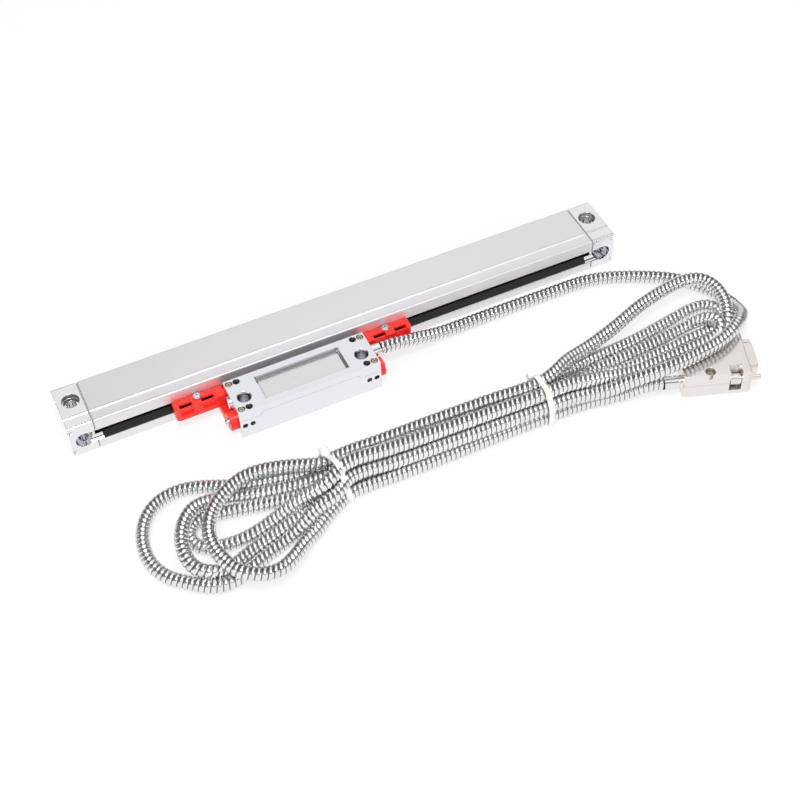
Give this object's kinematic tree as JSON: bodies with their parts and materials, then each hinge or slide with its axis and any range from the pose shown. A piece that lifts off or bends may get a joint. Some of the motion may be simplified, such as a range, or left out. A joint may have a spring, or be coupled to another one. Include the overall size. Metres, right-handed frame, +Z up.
{
  "type": "linear glass scale",
  "caption": "Sealed linear glass scale with a reader head sliding along its slotted bar, transport brackets, and an armoured cable tied in a bundle that ends in a metal-hooded D-sub plug.",
  "frame": {"origin": "centre of the bar's underside, on its mounting face", "axes": "+X along the bar from left to right, -Y from the bar to the reader head, +Z up from the mounting face"},
  "size_m": [0.3626, 0.156, 0.024],
  "materials": {
    "body_aluminium": "satin anodised",
    "cap_chrome": "polished plate",
    "head_metal": "satin nickel plate",
    "hood_metal": "nickel plate",
    "hose_steel": "bright interlocked steel",
    "ferrule_metal": "bright",
    "red_plastic": "satin",
    "seal_rubber": "glossy",
    "gasket_grey": "matte silicone",
    "screw_steel": "zinc plate",
    "screw_brass": "yellow zinc plate",
    "screw_dark": "black oxide",
    "label_metal": "brushed, bare",
    "tie_nylon": "translucent ivory",
    "glass": "ground edges",
    "lamp_clear": "moulded",
    "carriage_metal": "black",
    "inner_steel": "ground",
    "board_green": "solder mask",
    "insulator_black": "moulded",
    "contact_gold": "gold plate"
  },
  "bodies": {
    "scale_body": {"housing": "body_aluminium", "end_cap_left": "cap_chrome", "end_cap_right": "cap_chrome", "cap_gasket_left": "gasket_grey", "cap_gasket_right": "gasket_grey", "cap_screws": "screw_steel", "seal_lip_upper": "seal_rubber", "seal_lip_lower": "seal_rubber", "glass_scale": "glass", "bonding_strip": "seal_rubber"},
    "reader_head": {"head_base": "head_metal", "head_cover": "head_metal", "label_plate": "label_metal", "cover_screws": "screw_brass", "cover_set_screws": "screw_dark", "front_set_screws": "screw_dark", "blanking_plug": "ferrule_metal", "circuit_board": "board_green", "board_screws": "screw_steel", "coupling_blade": "inner_steel", "blade_screws": "screw_steel", "coupling_ball": "inner_steel", "coupling_spring": "inner_steel", "carriage_frame": "carriage_metal", "bearing_pins": "inner_steel", "index_grating": "glass", "photodiode_board": "board_green", "lamp_board": "board_green", "lamp": "lamp_clear", "bracket_left": "red_plastic", "bracket_right": "red_plastic", "bracket_clamp_screws": "screw_steel", "bracket_end_screws": "screw_steel", "head_ferrule": "ferrule_metal", "cable_lead": "hose_steel", "cable_hank": "hose_steel", "cable_tail": "hose_steel", "cable_tie_left": "tie_nylon", "cable_tie_right": "tie_nylon", "plug_ferrule": "ferrule_metal", "hood_lower": "hood_metal", "hood_upper": "hood_metal", "hood_screws": "screw_brass", "plug_flange": "hood_metal", "plug_insulator": "insulator_black", "plug_contacts": "contact_gold"},
    "face_bearing_left": {"face_bearing_left": "inner_steel"},
    "face_bearing_right": {"face_bearing_right": "inner_steel"},
    "face_bearing_upper": {"face_bearing_upper": "inner_steel"},
    "edge_bearing_left": {"edge_bearing_left": "inner_steel"},
    "edge_bearing_right": {"edge_bearing_right": "inner_steel"},
    "thumbscrew_near": {"thumbscrew_near": "hood_metal"},
    "thumbscrew_far": {"thumbscrew_far": "hood_metal"}
  },
  "joints": [
    {"name": "head_slide", "type": "slide", "parent": "scale_body", "child": "reader_head", "axis": [1, 0, 0], "range_m": [-0.0625, 0.137]},
    {"name": "face_bearing_left_spin", "type": "hinge", "parent": "reader_head", "child": "face_bearing_left", "pos_m": [-0.0573, -0.0041, 0.01175], "axis": [0, 0, 1], "continuous": true},
    {"name": "face_bearing_right_spin", "type": "hinge", "parent": "reader_head", "child": "face_bearing_right", "pos_m": [-0.0173, -0.0041, 0.01175], "axis": [0, 0, 1], "continuous": true},
    {"name": "face_bearing_upper_spin", "type": "hinge", "parent": "reader_head", "child": "face_bearing_upper", "pos_m": [-0.0173, -0.0041, 0.01565], "axis": [0, 0, 1], "continuous": true},
    {"name": "edge_bearing_left_spin", "type": "hinge", "parent": "reader_head", "child": "edge_bearing_left", "pos_m": [-0.0513, 0.001, 0.0068], "axis": [0, 1, 0], "continuous": true},
    {"name": "edge_bearing_right_spin", "type": "hinge", "parent": "reader_head", "child": "edge_bearing_right", "pos_m": [-0.0233, 0.001, 0.0068], "axis": [0, 1, 0], "continuous": true},
    {"name": "thumbscrew_near_spin", "type": "hinge", "parent": "reader_head", "child": "thumbscrew_near", "pos_m": [0.16512, -0.12703, 0.0078], "axis": [0.9397, -0.342, 0], "continuous": true},
    {"name": "thumbscrew_far_spin", "type": "hinge", "parent": "reader_head", "child": "thumbscrew_far", "pos_m": [0.17367, -0.10354, 0.0078], "axis": [0.9397, -0.342, 0], "continuous": true}
  ]
}
